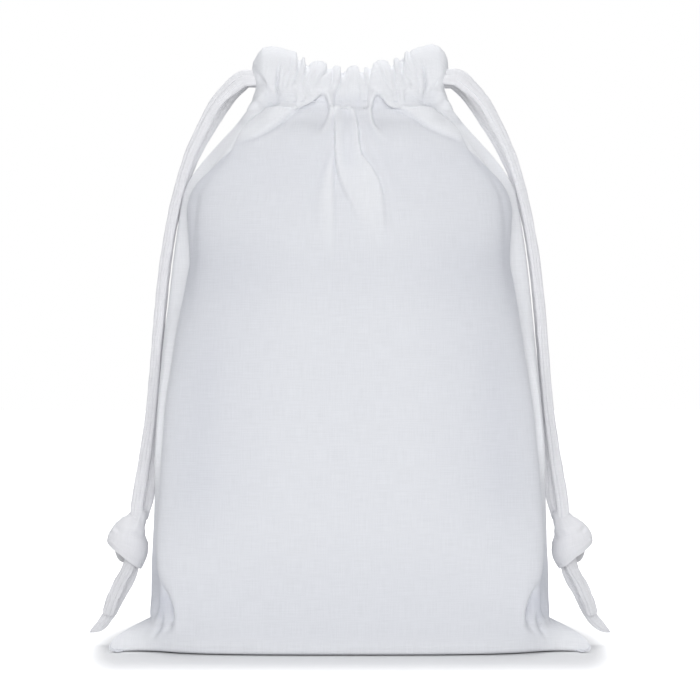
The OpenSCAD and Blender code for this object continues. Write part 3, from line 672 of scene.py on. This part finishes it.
# The gathered mouth. Its ends are rounded ears, the right pair fuller to hold the outer cord.
mouth = {
    "halfWidth": 42,
    "height": 24,
    "earFrom": 35.5,
    "earLength": 6.7,
    "waist": 2,
    "waistHeight": 238.5,
    "rim": [
        (-42, 245), (-41.3, 248.5), (-39, 252.4), (-37, 254.5), (-33.3, 255.3), (-29.7, 254.7),
        (-26.3, 253.6), (-23.4, 253), (-21.7, 251.8), (-21.2, 249.9), (-20, 250.7), (-18.7, 250), (-18, 248),
        (-16.1, 248.3), (-14.4, 249), (-11.9, 248.8), (-9.8, 247.8), (-8.3, 246.4), (-5.9, 247),
        (-4.1, 246.6), (-3.1, 245.2), (-2.4, 244.2), (-0.8, 246.1), (0.8, 247), (2.4, 247.1), (3.8, 246.1),
        (4.7, 244.8), (5.7, 246.1), (8.2, 246.2), (9.4, 247.6), (11.8, 249.2), (14.6, 249.4), (16.1, 248.5),
        (17.2, 247.4), (17.9, 249), (19.4, 250.4), (20.8, 249.9), (21.8, 249.4), (22.4, 251.8), (24.1, 253.2),
        (25.1, 252.4), (26.2, 253.6), (28.3, 254.6), (34.9, 256.2), (37.8, 255.1), (40.1, 252.8),
        (41.5, 249.9), (42, 246),
    ],
    # across the casing: distance from the middle plane, share of the height
    "profile": [
        (14, 0), (14.5, 0.06), (15.4, 0.16), (16.4, 0.3), (17, 0.48), (17.3, 0.66), (16.4, 0.82),
        (14.4, 0.94), (11.6, 1), (8.8, 0.985), (7, 0.93), (6.3, 0.86),
    ],
    "hemY": 6.3,
    "hemLow": 224,
}


def rimHeight(side, x):
    line = np.array(mouth["rim"])
    if side == back:
        x = -x
    return np.interp(x, line[:, 0], line[:, 1])


def casingRows(side, count, first):
    rim = np.linspace(-1, 1, 2 * count + 1) * mouth["halfWidth"]
    tall = rimHeight(side, rim)
    profile = smoothLine([(y, share * mouth["height"]) for y, share in mouth["profile"]], 0.78)
    pastEar = np.clip(np.abs(rim) - mouth["earFrom"], 0, mouth["halfWidth"] - mouth["earFrom"])
    ends = np.sqrt(np.clip(1 - (pastEar / mouth["earLength"]) ** np.where(rim > 0, 4, 2), 0, 1))
    rows = []
    for i, (y, up) in enumerate(profile[1:]):
        z = mixed(form["neckHeight"], tall, up / mouth["height"])
        face = mouth["hemY"] + (y - mouth["hemY"]) * ends
        waist = mouth["waist"] * np.exp(-(((z - mouth["waistHeight"]) / 4.5) ** 2))
        waist *= ramp((np.abs(rim) - 33) / 9)
        row = np.stack([rim - np.sign(rim) * waist, side * face, z], axis=1)
        row[:, :2] = mixed(first[:, :2], row[:, :2], ramp((i + 1) / 9))
        rows.append(row)
    return np.array(rows)


# A panel's mesh and thickness, the strengths of the painted shade and painted light on its cloth, and its
# puff under the casing.
panelMesh = {
    "halfColumns": 120,
    "thickness": 0.5,
    "upperShade": 0.04,
    "shaded": 0.058,
    "hollowShade": 0.16,
    "raisedLight": 0.07,
    "puff": 1.7,
}
bodyHeights = np.concatenate([
    np.linspace(0, 8, 14), np.linspace(8.8, 30, 18), np.linspace(32.5, 186, 60),
    np.linspace(186.7, form["neckHeight"], 62),
])
# Path of the painted shade where the cloth is drawn in above a bottom corner.
cornerShadePath = [
    (-81.4, 34, 1.5, 0.1), (-80.2, 28, 2, 0.5), (-78.6, 22.5, 2.2, 1), (-77.6, 18, 2.2, 0.9),
    (-77.6, 14, 1.8, 0.6), (-79.5, 9.5, 1.2, 0.3), (-82, 6, 1, 0),
]


def lumpsOn(points, size, seed):
    places = points.reshape(-1, 3) / size + seed
    return np.array([noise.noise(Vector(p)) for p in places]).reshape(points.shape[:2])


# Share of painted light on the cloth: on raised folds, the casing, the ears and the flat edges.
def raisedLightShare(x, z, folds, edgeLight):
    share = np.clip(foldsOn(x, z, [f for f in folds if f[0] != "crease"]) / 1.8, 0, 1)
    share = np.maximum(share, ramp((z - 231) / 6))
    share = np.maximum(share, ramp((np.abs(x) - 34) / 4) * ramp((z - 220) / 6))
    return np.maximum(share * ramp((z - 138) / 32), edgeLight)


# Painted light and painted shade on a panel's cloth, over its rows.
def clothShading(side, rows, folds):
    x, z = rows[..., 0], rows[..., 2]
    outer = np.array([halfWidth(min(r, form["neckHeight"])) for r in rows[:, 0, 2]])[:, None]
    atFront = float(side == front)
    # painted light on the flat edges, and painted shade beside them and on the edge where it is drawn in
    # above a corner
    fromEdge = outer - np.interp(z, flatEdge[:, 0], flatEdge[:, 1]) - np.abs(x)
    edgeLight = (1 - ramp(fromEdge / 0.8 + 0.5)) * ramp((z - 50) / 30) * ramp((226 - z) / 6) * atFront
    shaded = np.exp(-((fromEdge / 6) ** 2)) * ramp(fromEdge / 0.8 + 0.5)
    shaded = shaded * ramp((z - 130) / 40) * ramp((224 - z) / 10) * atFront
    drawnInShade = (1 - ramp(fromEdge / 1.5 + 0.5)) * ramp((52 - z) / 22) * ramp((z - 12.5) / 3) * atFront
    # painted shade where the face turns away towards the sides
    inward = outer - np.abs(x)
    sideShade = 0.6 * np.exp(-(((inward - 20) / 8) ** 2)) * (1 - ramp((z - 115) / 30))
    sideShade = (1 - ramp((inward - 20) / 42) + sideShade) * ramp(inward / 12)
    sideShade *= ramp((z - 30) / 45) * (1 - 0.7 * ramp((z - 165) / 25)) * atFront
    # painted shade in the hollows above the bottom corners, and painted light along the bottom edge and under
    # the corner ears
    hollowShade = foldHeight(-np.abs(x), z, "soft", cornerShadePath) * atFront
    soleLight = 0.04 * (1 - ramp((z - 2) / 8)) + 0.07 * ramp((np.abs(x) - 77) / 14) * (1 - ramp((z - 10) / 4))
    # painted shade across the upper body and the shoulders' slopes
    empty = ramp((z - 170) / 45) * (1 - 0.9 * ramp((z - 203) / 12)) + 0.6 * np.exp(-(((z - 158) / 14) ** 2))
    # painted shade over the shoulders, beside the flat edges, above the corners and where the face turns
    # away, painted light along the bottom, and painted shade deepening towards the table
    baseShading = -panelMesh["upperShade"] * empty - panelMesh["shaded"] * (shaded + 1.6 * drawnInShade + 0.95 * sideShade)
    baseShading += soleLight * atFront - 0.03 * (1 - ramp((z - 25) / 30)) - panelMesh["hollowShade"] * hollowShade
    return mixed(baseShading, panelMesh["raisedLight"], raisedLightShare(x, z, folds, edgeLight))


def panelPoints(side, folds):
    count = panelMesh["halfColumns"]
    rows = np.array([bodyRow(side, z, count) for z in bodyHeights])
    rows = np.concatenate([rows, casingRows(side, count, rows[-1])])
    x, z = rows[..., 0], rows[..., 2]
    lift = foldsOn(x, z, folds)
    lumps = lumpsOn(rows, 60, 7.3 * side) + 0.3 * lumpsOn(rows, 22, 3.1 * side)
    lift += lumps * ramp(z / 30) * ramp((225 - z) / 30)
    fromMiddle = np.abs(np.linspace(-1, 1, rows.shape[1]))
    lift *= 1 - ramp((fromMiddle - 0.965) / 0.035)
    puff = np.exp(-(((z - form["neckHeight"]) / 3.2) ** 2)) * (1 - ramp((np.abs(x) - 32) / 7))
    lift += panelMesh["puff"] * puff
    return rows + gridNormals(rows, side) * lift[..., None], clothShading(side, rows, folds)


def makePanel(name, side, folds):
    points, paintedShading = panelPoints(side, folds)
    piece = layCloth(name, points, clothFinish, side == back, paintedShading)
    thicken(piece, panelMesh["thickness"])
    return piece, points


def makeFloorCloth():
    count = panelMesh["halfColumns"]
    near = bodyRow(front, 0.0, count) + (0, 0.6, 0)
    far = bodyRow(back, 0.0, count)
    near[:, 1] = np.minimum(near[:, 1], far[:, 1] - 0.2)
    rows = np.array([mixed(near, far, s) for s in np.linspace(0, 1, 20)])
    rows[..., 2] = 0.0
    piece = layCloth("floorCloth", rows, clothFinish, False)
    thicken(piece, panelMesh["thickness"])
    return piece


hem = {"halfWidth": 35, "belowRim": 2.4, "columns": 141, "rows": 22}


def makeHem(name, side, chain):
    rim = np.linspace(-1, 1, hem["columns"]) * hem["halfWidth"]
    tall = rimHeight(side, rim) - hem["belowRim"]
    deep = np.full_like(rim, side * mouth["hemY"])
    shares = np.linspace(0, 1, hem["rows"])
    rows = np.array([np.stack([rim, deep, mixed(mouth["hemLow"], tall, s)], axis=1) for s in shares])
    z = rows[..., 2]
    ripple = foldsOn(rows[..., 0], z, gatherFolds(chain)) * ramp((z - 226) / 10)
    rows[..., 1] += side * ((form["neckFace"] - mouth["hemY"] - 0.8) * ramp((236 - z) / 7) - ripple * 0.35)
    piece = layCloth(name, rows, hemFinish, side == front)
    thicken(piece, panelMesh["thickness"])
    return piece


# The drawstrings. The right one runs outside the left one in the casings.
cord = {
    "width": 4.3,
    "thickness": 3.0,
    "sides": 36,
    "exitX": 44.4,
    "exitY": {left: 8.8, right: 12.8},
    "exitZ": 242,
    "leadLength": 28.7,
    "hangY": 2.4,
    "bendFrom": (42.5, 242),
    "bendTo": (57, 236),
    "knotX": 95,
    "knotZ": 44.5,
}
# Reach from the middle, share of the way from hanging free to the casing's depth, height.
frontStrand = [
    (46.5, 1, 241.2), (49, 0.95, 239.4), (51.5, 0.88, 237.4), (54.7, 0.78, 234.4), (57.9, 0.67, 230.3),
    (62.5, 0.5, 222), (66.7, 0.36, 213.5), (70, 0.26, 205.4), (74.8, 0.1, 188.5), (78.8, 0.02, 167.3),
    (81.3, 0, 146.2), (83, 0, 125), (84.8, 0, 103.6), (87.6, 0, 82), (90.8, 0, 62), (91.4, 0, 53),
]
backStrand = [
    (46.3, 1, 240.8), (48.3, 0.96, 239.1), (50.6, 0.9, 236.6), (53.2, 0.81, 233.2), (56, 0.7, 229.2),
    (58.6, 0.6, 225), (61.5, 0.5, 220.2), (64.6, 0.4, 214.6), (67.4, 0.3, 208.8), (70.1, 0.2, 202),
    (73.2, 0.1, 192.4), (76.5, 0.04, 179.3), (79, 0, 163.2), (80.8, 0, 146), (82.5, 0, 125), (83.9, 0, 104),
    (85.2, 0, 82), (86.1, 0, 68), (87, 0, 62), (88.4, 0, 57.6), (89.8, 0, 53),
]
# Offsets from the knot's middle: towards the sack, in depth, up.
frontTail = [
    (1.4, -0.8, -4.5), (0.9, -1.4, -8.5), (-0.6, -2.4, -12.6), (-3.9, -3.4, -18.6), (-6.6, -3.8, -25),
    (-8.8, -4, -31.6),
]
backTail = [
    (2.6, 1.4, -6), (2.2, 1.6, -10), (0.3, 1.8, -16), (-3.3, 1.8, -22.5), (-6.3, 1.2, -28.5), (-9.2, 0, -33),
    (-12.4, -1, -36.6), (-16.6, -1.4, -39.2),
]
tuckLine = [(-4.2, 1.6, -2.6), (-4.4, 2, -4.8), (-3.2, 2.4, -7.6), (-1.6, 2.6, -7.8), (0.6, 2.6, -5)]


def tubeFaces(rings, sides):
    faces = []
    for i in range(rings - 1):
        for k in range(sides):
            a, b = i * sides + k, i * sides + (k + 1) % sides
            faces.append((a, b, b + sides, a + sides))
    return faces


# A soft tape folded into a cord: a flattened tube with creases along it.
def layCord(
    name, points, step, creases, width, thickness, phase, ends=(1, 1), crumple=0.1, spreads=(),
    taperRings=5, paintedShading=0.0,
):
    sides = cord["sides"]
    line = smoothLine(points, step)
    tangent = np.gradient(line, axis=0)
    tangent /= np.linalg.norm(tangent, axis=1, keepdims=True)
    deep = np.array([0.0, 1.0, 0.0])
    verts = []
    rings = len(line)
    for i in range(rings):
        along = i * step
        deep = deep - tangent[i] * (deep @ tangent[i])
        deep = deep / np.linalg.norm(deep)
        wide = np.cross(deep, tangent[i])
        fromEnds = [max(0, 1 - i / taperRings), max(0, 1 - (rings - 1 - i) / taperRings)]
        taper = [1 - (1 - ends[k]) * fromEnds[k] ** 2 for k in (0, 1)]
        rounded = 0.55 if i in (0, rings - 1) else 0.88 if i in (1, rings - 2) else 1
        spread = 1 + sum(by * math.exp(-(((along - at) / reach) ** 2)) for at, by, reach in spreads)
        shift = 0.25 * noise.noise(Vector((along * 0.06, phase, 2.0)))
        for a in np.linspace(0, 2 * math.pi, sides, endpoint=False):
            turns = [math.remainder(a - place - shift, 2 * math.pi) for place, _ in creases]
            dent = sum(depth * math.exp(-((turn / 0.17) ** 2)) for turn, (_, depth) in zip(turns, creases))
            spot = Vector((along * 0.16 + phase * 9, 2 * math.cos(a), 2 * math.sin(a)))
            r = taper[0] * taper[1] * rounded * (1 + crumple * noise.noise(spot)) - dent
            outward = thickness / 2 * math.cos(a) * deep + spread * width / 2 * math.sin(a) * wide
            verts.append(line[i] + r * outward)
    faces = tubeFaces(rings, sides)
    verts += [line[0], line[-1]]
    for k in range(sides):
        faces.append((len(verts) - 2, (k + 1) % sides, k))
        faces.append((len(verts) - 1, (rings - 1) * sides + k, (rings - 1) * sides + (k + 1) % sides))
    piece = makeShell(name, verts, faces, cordFinish, np.full(len(verts), paintedShading))
    unroll(piece, rings, sides, step, (width + thickness) * 1.6)
    return piece, line * mm


def makeShell(name, verts, faces, finish, paintedShading):
    mesh = bpy.data.meshes.new(name)
    mesh.from_pydata([tuple(float(c) * mm for c in v) for v in verts], [], faces)
    setPaintedShading(mesh, paintedShading)
    mesh.update()
    piece = bpy.data.objects.new(name, mesh)
    bpy.context.collection.objects.link(piece)
    mesh.materials.append(finish)
    pick(piece)
    editWhole(bpy.ops.mesh.normals_make_consistent, inside=False)
    bpy.ops.object.shade_smooth_by_angle(angle=math.radians(60))
    return piece


def unroll(piece, rings, sides, step, girth):
    mesh = piece.data
    layer = mesh.uv_layers.new(name="UVMap")
    for polygon in mesh.polygons:
        places = [mesh.loops[i].vertex_index for i in polygon.loop_indices]
        wraps = any(p % sides == 0 for p in places) and any(p % sides == sides - 1 for p in places)
        for i, p in zip(polygon.loop_indices, places):
            ring, k = divmod(min(p, rings * sides - 1), sides)
            k = k + sides if wraps and k == 0 else k
            layer.data[i].uv = (k / sides * girth * mm, ring * step * mm)


def strandPoints(hand, side):
    y = cord["exitY"][hand]
    points = frontStrand if side == front else backStrand
    starts = [cord["exitX"] - cord["leadLength"] * s for s in (1, 0.7, 0.4, 0.15, 0)]
    inside = [(hand * x, side * y, cord["exitZ"]) for x in starts]
    return inside + [(hand * p[0], side * mixed(cord["hangY"], y, p[1]), p[2]) for p in points]


def atKnot(hand, points):
    return [(hand * (cord["knotX"] - p[0]), p[1], cord["knotZ"] + p[2]) for p in points]


# Middle (towards the sack, up), half width, half depth, tilt in degrees.
knotForm = [
    (4.6, 13, 2.6, 2.2, 0), (4.6, 12.6, 3.3, 3.2, 0), (4.1, 11.2, 4, 3.8, 5), (2, 8.3, 5.7, 5, 11),
    (0.5, 4.6, 7.2, 6, 15), (-0.1, 1.5, 8.5, 6.6, 14), (-0.2, -1.2, 9.1, 6.9, 18), (-0.6, -3.6, 9.3, 6.9, 24),
    (-1.1, -5.4, 9.1, 6.7, 31), (-1.4, -6.6, 8.8, 6.4, 36), (-1.3, -7.1, 8.2, 5.8, 38),
    (-1, -6.4, 7.2, 5, 37), (-0.5, -4.4, 5.8, 4, 34), (0, -2.4, 3.4, 2.6, 30),
]
knotFolds = [("soft", False, path) for path in (
    [(3.4, 13, 0.6, -0.4), (3.2, 9, 0.8, -0.35), (2, 5, 1.2, -0.15)],
    [(5.6, 13, 0.6, -0.4), (5.8, 8, 0.8, -0.3), (5.4, 5, 1.2, -0.1)],
    [(9, 1.6, 1.2, -0.9), (6, 1.8, 1.3, -0.6), (2.5, 3.2, 1.2, -0.2)],
    [(-1, 4.6, 0.9, 0.35), (1, 3.6, 0.9, 0.45), (3, 4, 0.9, 0.3)],
    [(-7.5, 3.4, 0.9, -0.3), (-4, 2.2, 1.1, -0.25), (0, -1, 1.2, -0.1)],
    [(-8, 0.5, 0.6, 0.3), (-2, -4, 0.7, 0.35), (5, -9.5, 0.7, 0.3)],
    [(-6.4, 6.4, 0.9, -0.1), (-4.9, 5.6, 1, -0.7), (-3.8, 4, 1.1, -0.4), (-3.4, 2, 1.1, 0)],
    [(-1.4, 6.2, 0.7, 0.2), (0.4, 4.8, 0.8, 0.5), (2.6, 4.3, 0.8, 0.55), (4.8, 5.8, 0.8, 0.2)],
)]


def makeKnot(hand):
    sides, step = 56, 0.55
    levels = smoothLine(knotForm, step)
    rings = len(levels)
    verts = []
    for cx, cz, halfAcross, halfDeep, tilt in levels:
        lean = math.radians(tilt)
        for k in range(sides):
            a = 2 * math.pi * k / sides
            across, deep = halfAcross * math.sin(a), halfDeep * math.cos(a)
            verts.append((cx + across * math.cos(lean), deep, cz - across * math.sin(lean)))
    verts = np.array(verts).reshape(rings, sides, 3)
    normal = np.cross(np.gradient(verts, axis=0), np.roll(verts, -1, axis=1) - np.roll(verts, 1, axis=1))
    normal /= np.maximum(np.linalg.norm(normal, axis=2, keepdims=True), 1e-6)
    outward = np.sign((normal[8] * (verts[8] - verts[8].mean(axis=0))).sum())
    atFront = np.clip(-verts[..., 1] / 2, 0, 1)
    lift = foldsOn(verts[..., 0], verts[..., 2], knotFolds) * atFront
    lift += foldsOn(-verts[..., 0] + 2, verts[..., 2], knotFolds) * (1 - atFront) * 0.9
    lift += 0.35 * lumpsOn(verts, 5.0, 4.0 + hand)
    verts = (verts + normal * (outward * lift)[..., None]).reshape(-1, 3)
    faces = tubeFaces(rings, sides)
    faces.append(tuple(range(sides)))
    faces.append(tuple((rings - 1) * sides + k for k in range(sides)))
    # painted shade on the knot's turned-in underside, and a little painted light over the rest
    undersideShade = -0.3 * ramp((np.repeat(np.arange(rings), sides) / rings - 0.78) / 0.1) + 0.02
    name = ("left" if hand == left else "right") + "Knot"
    piece = makeShell(name, atKnot(hand, verts), faces, cordFinish, undersideShade)
    unroll(piece, rings, sides, step, 46)
    return piece


say("studio")
setCamera()
for name, lamp in lamps.items():
    addLamp(name, **lamp)
setWorld()
layTable()

say("cords")
# Creases are an angle round the cord and a depth, spreads a length along it, a share and a reach.
strandCreases = ((math.pi - 0.6, 0.3), (math.pi + 0.45, 0.24), (0.4, 0.28), (-0.7, 0.22))
# painted light on the back strands, which lie in the front strands' shade
strandLook = {
    front: dict(spreads=((30, 0.6, 9), (50, 0.25, 20), (222, 0.26, 34)), paintedShading=0.0),
    back: dict(spreads=((50, 0.2, 20), (226, 0.2, 30)), paintedShading=0.03),
}
tailCreases = ((math.pi - 0.7, 0.3), (math.pi + 0.1, 0.24), (math.pi + 0.8, 0.28), (0.5, 0.2), (-0.6, 0.2))
# painted shade darkens the tails, and most of all the tuck under the knot's rim
frontTailLook = dict(width=5.2, thickness=2.5, phase=1.3, ends=(1, 0.9), crumple=0.32, paintedShading=-0.07)
backTailLook = dict(width=5, thickness=2.2, phase=2.1, ends=(1, 0.12), crumple=0.2, taperRings=14, paintedShading=-0.04)
tuckLook = dict(width=3.2, thickness=1.8, phase=0.4, crumple=0.2, paintedShading=-0.3)
for hand, word in ((left, "left"), (right, "right")):
    body = word + "_drawstring"
    knot = makeKnot(hand)
    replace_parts(knot, word + "_knot")
    frontEnd, _ = layCord(word + "FrontTail", atKnot(hand, frontTail), 0.6, tailCreases, **frontTailLook)
    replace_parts(frontEnd, word + "_cord_front_tail")
    backEnd, _ = layCord(word + "BackTail", atKnot(hand, backTail), 0.6, tailCreases, **backTailLook)
    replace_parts(backEnd, word + "_cord_back_tail")
    tuck, _ = layCord(word + "KnotTuck", atKnot(hand, tuckLine), 0.6, tailCreases[:2], **tuckLook)
    onKnot = [knot, frontEnd, backEnd, tuck]
    for piece in onKnot:
        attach(piece, body)
    for side, name in ((front, "Front"), (back, "Back")):
        strand, line = layCord(
            word + name + "Strand", strandPoints(hand, side), 1, strandCreases, cord["width"],
            cord["thickness"], 0.7 * side + hand, **strandLook[side],
        )
        node = word + "_cord_" + name.lower()
        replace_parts(strand, node + "_strand", node + "_lead")
        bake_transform(strand)

say("cloth")
frontPanel, frontPoints = makePanel("frontPanel", front, frontFolds + gatherFolds(frontGathers))
backPanel, backPoints = makePanel("backPanel", back, backFolds + gatherFolds(backGathers))
floorCloth = makeFloorCloth()
frontHem = makeHem("frontHem", front, frontGathers)
backHem = makeHem("backHem", back, backGathers)
for piece, node, slotName in (
    (frontPanel, "front_panel", "cotton"), (backPanel, "back_panel", "cotton"),
    (frontHem, "front_casing_hem", "cotton_hem"), (backHem, "back_casing_hem", "cotton_hem"),
):
    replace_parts(piece, node)
    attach(piece, "sack")
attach(floorCloth, "sack")

say("stitches")
stitch = {"every": 3.6, "length": 2.4, "width": 0.5, "proud": 0.06, "row": 231.2, "halfRow": 36}


# A bead of thread with the given half sizes.
def addBead(segments, rings, middle, halves, turn=Matrix.Identity(3)):
    deselectAll()
    bpy.ops.mesh.primitive_uv_sphere_add(segments=segments, ring_count=rings, radius=1, location=(0, 0, 0))
    bead = bpy.context.object
    for v in bead.data.vertices:
        v.co = (turn @ (v.co * halves) + middle) * mm
    return bead


def finishThread(piece, name):
    piece.name = name
    piece.data.materials.clear()
    piece.data.materials.append(threadFinish)
    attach(piece, "sack")
    return piece


def stitchCasing(name, side, points):
    off = np.abs(points[..., 2] - stitch["row"])
    off[: len(bodyHeights)] = 1e3
    line = points[np.argmin(off, axis=0), np.arange(points.shape[1])]
    kept = np.abs(line[:, 0]) < stitch["halfRow"]
    line = smoothLine(line[kept][::4], stitch["every"])
    halves = Vector((stitch["length"], stitch["width"], stitch["width"])) / 2
    beads = []
    for a, b in zip(line[:-1], line[1:]):
        middle = Vector((a + b) / 2) + Vector((0, side * stitch["proud"], 0))
        turn = Vector(b - a).normalized().to_track_quat("X", "Z").to_matrix()
        beads.append(addBead(8, 5, middle, halves, turn))
    for bead in beads:
        bead.select_set(True)
    bpy.context.view_layer.objects.active = beads[0]
    bpy.ops.object.join()
    return finishThread(bpy.context.object, name)


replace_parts(stitchCasing("frontCasingStitches", front, frontPoints), "front_casing_stitching")
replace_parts(stitchCasing("backCasingStitches", back, backPoints), "back_casing_stitching")

# A bar tack closes the lower end of each slit.
slitTack = {"inset": 1.1, "halfWidth": 0.55, "halfDepth": 1.6, "halfHeight": 0.6}


def sewSlitTack(name, hand):
    z = form["neckHeight"] - form["slitDrop"]
    middle = Vector((hand * (halfWidth(z) - slitTack["inset"]), 0, z - slitTack["halfHeight"]))
    halves = Vector((slitTack["halfWidth"], slitTack["halfDepth"], slitTack["halfHeight"]))
    tack = addBead(16, 9, middle, halves)
    tack.data.name = name
    bpy.ops.object.shade_smooth()
    return finishThread(tack, name)


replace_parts(sewSlitTack("leftSlitTack", left), "left_slit_tack")
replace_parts(sewSlitTack("rightSlitTack", right), "right_slit_tack")

say("finish")
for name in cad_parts:
    node = bpy.data.objects.get(name)
    if node is None:
        continue
    node.data.materials.clear()
    node.data.materials.append(threadFinish if "stitching" in name or "tack" in name else innerFinish)

bpy.context.scene.view_settings.view_transform = "Standard"
